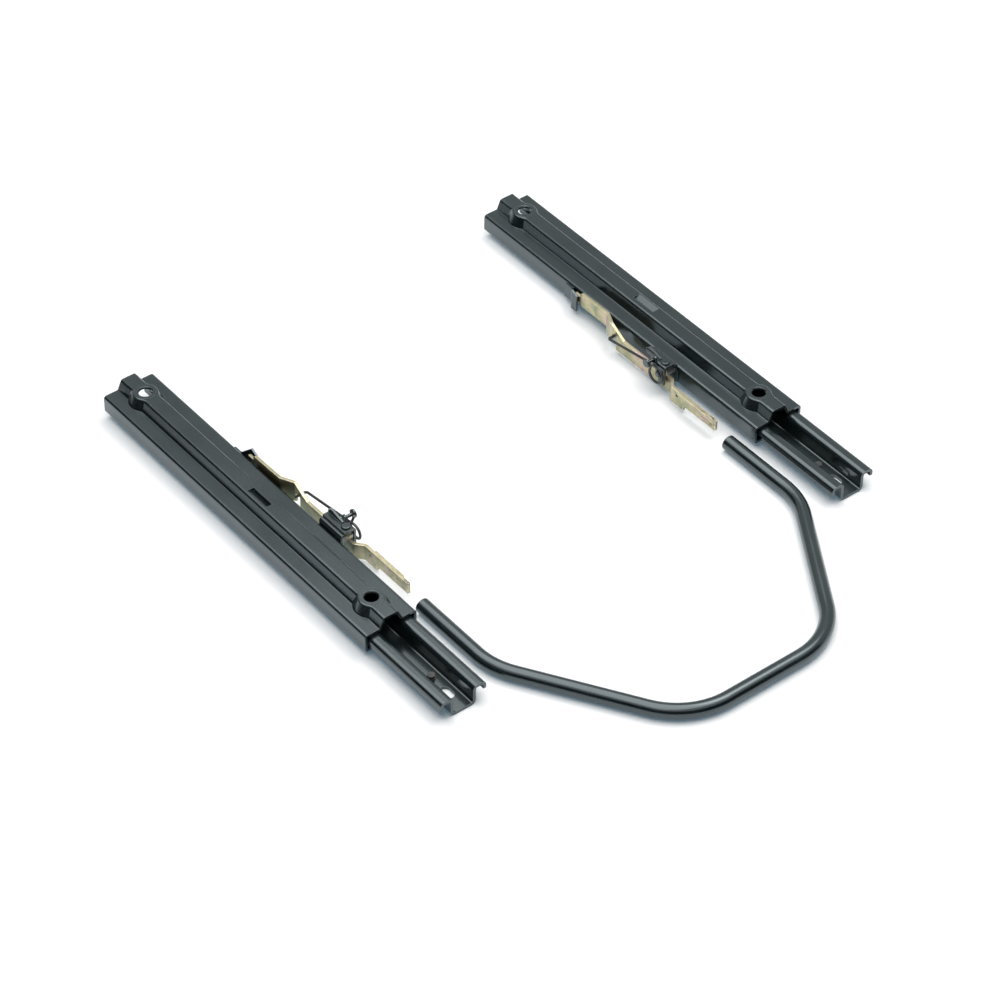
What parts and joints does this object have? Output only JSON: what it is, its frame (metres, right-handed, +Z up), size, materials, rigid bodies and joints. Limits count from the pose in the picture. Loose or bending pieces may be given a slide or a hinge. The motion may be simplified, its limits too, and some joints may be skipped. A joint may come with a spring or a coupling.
{
  "type": "vehicle seat mount",
  "caption": "Pair of sliding seat rails with sprung locking levers and a loose bent bar that joins the levers.",
  "frame": {"origin": "centre of the whole set's box, on the floor under the floor tracks", "axes": "+Y to the rear along the rails, the seat faces -Y, +Z up from the floor, +X across to the right rail"},
  "size_m": [0.4284, 0.5502, 0.0322],
  "materials": {
    "black_paint": "satin gloss black paint",
    "yellow_zinc": "yellow passivated zinc plate",
    "bare_steel": "oiled bare steel",
    "spring_wire": "black spring wire",
    "nylon": "natural nylon"
  },
  "bodies": {
    "seat_tracks": {"release_bar": "black_paint", "left_upper_track": "black_paint", "left_guide_shoes": "nylon", "left_lever_guide": "black_paint", "left_pivot_bracket": "black_paint", "left_bracket_strap": "black_paint", "left_strap_rivet": "black_paint", "left_pivot_pin": "black_paint", "left_pivot_spacers": "bare_steel", "left_spring_peg": "black_paint", "right_upper_track": "black_paint", "right_guide_shoes": "nylon", "right_lever_guide": "black_paint", "right_pivot_bracket": "black_paint", "right_bracket_strap": "black_paint", "right_strap_rivet": "black_paint", "right_pivot_pin": "black_paint", "right_pivot_spacers": "bare_steel", "right_spring_peg": "black_paint"},
    "left_floor_track": {"left_lower_track": "black_paint", "left_stop_studs": "bare_steel"},
    "left_lever": {"left_lock_lever": "yellow_zinc", "left_lever_spring": "spring_wire"},
    "left_cage": {"left_roller_cage": "bare_steel", "left_roller_axles": "bare_steel"},
    "left_front_wheel": {"left_front_roller": "bare_steel"},
    "left_rear_wheel": {"left_rear_roller": "bare_steel"},
    "right_floor_track": {"right_lower_track": "black_paint", "right_stop_studs": "bare_steel"},
    "right_lever": {"right_lock_lever": "yellow_zinc", "right_lever_spring": "spring_wire"},
    "right_cage": {"right_roller_cage": "bare_steel", "right_roller_axles": "bare_steel"},
    "right_front_wheel": {"right_front_roller": "bare_steel"},
    "right_rear_wheel": {"right_rear_roller": "bare_steel"}
  },
  "joints": [
    {"name": "left_track_slide", "type": "slide", "parent": "seat_tracks", "child": "left_floor_track", "axis": [0, 1, 0], "range_m": [0, 0.18]},
    {"name": "left_lever_lift", "type": "hinge", "parent": "seat_tracks", "child": "left_lever", "pos_m": [-0.1905, 0.03158, 0.0189], "axis": [-1, 0, 0], "range_deg": [0, 3], "stiffness_Nm_per_rad": 1, "springref_deg": -22.92},
    {"name": "left_cage_slide", "type": "slide", "parent": "seat_tracks", "child": "left_cage", "axis": [0, 1, 0], "range_m": [0, 0.0901]},
    {"name": "left_front_wheel_roll", "type": "hinge", "parent": "left_cage", "child": "left_front_wheel", "pos_m": [-0.1905, -0.01418, 0.01535], "axis": [1, 0, 0], "range_deg": [0, 407]},
    {"name": "left_rear_wheel_roll", "type": "hinge", "parent": "left_cage", "child": "left_rear_wheel", "pos_m": [-0.1905, 0.11534, 0.01535], "axis": [1, 0, 0], "range_deg": [0, 407]},
    {"name": "right_track_slide", "type": "slide", "parent": "seat_tracks", "child": "right_floor_track", "axis": [0, 1, 0], "range_m": [0, 0.18]},
    {"name": "right_lever_lift", "type": "hinge", "parent": "seat_tracks", "child": "right_lever", "pos_m": [0.1905, 0.03158, 0.0189], "axis": [-1, 0, 0], "range_deg": [0, 3], "stiffness_Nm_per_rad": 1, "springref_deg": -22.92},
    {"name": "right_cage_slide", "type": "slide", "parent": "seat_tracks", "child": "right_cage", "axis": [0, 1, 0], "range_m": [0, 0.0901]},
    {"name": "right_front_wheel_roll", "type": "hinge", "parent": "right_cage", "child": "right_front_wheel", "pos_m": [0.1905, -0.01418, 0.01535], "axis": [1, 0, 0], "range_deg": [0, 407]},
    {"name": "right_rear_wheel_roll", "type": "hinge", "parent": "right_cage", "child": "right_rear_wheel", "pos_m": [0.1905, 0.11534, 0.01535], "axis": [1, 0, 0], "range_deg": [0, 407]}
  ],
  "couplings": [
    {"joint": "left_front_wheel_roll", "follows": "left_track_slide", "rad_per_m": 39.37},
    {"joint": "left_rear_wheel_roll", "follows": "left_track_slide", "rad_per_m": 39.37},
    {"joint": "left_cage_slide", "follows": "left_track_slide", "ratio": 0.5},
    {"joint": "right_front_wheel_roll", "follows": "right_track_slide", "rad_per_m": 39.37},
    {"joint": "right_rear_wheel_roll", "follows": "right_track_slide", "rad_per_m": 39.37},
    {"joint": "right_cage_slide", "follows": "right_track_slide", "ratio": 0.5}
  ]
}
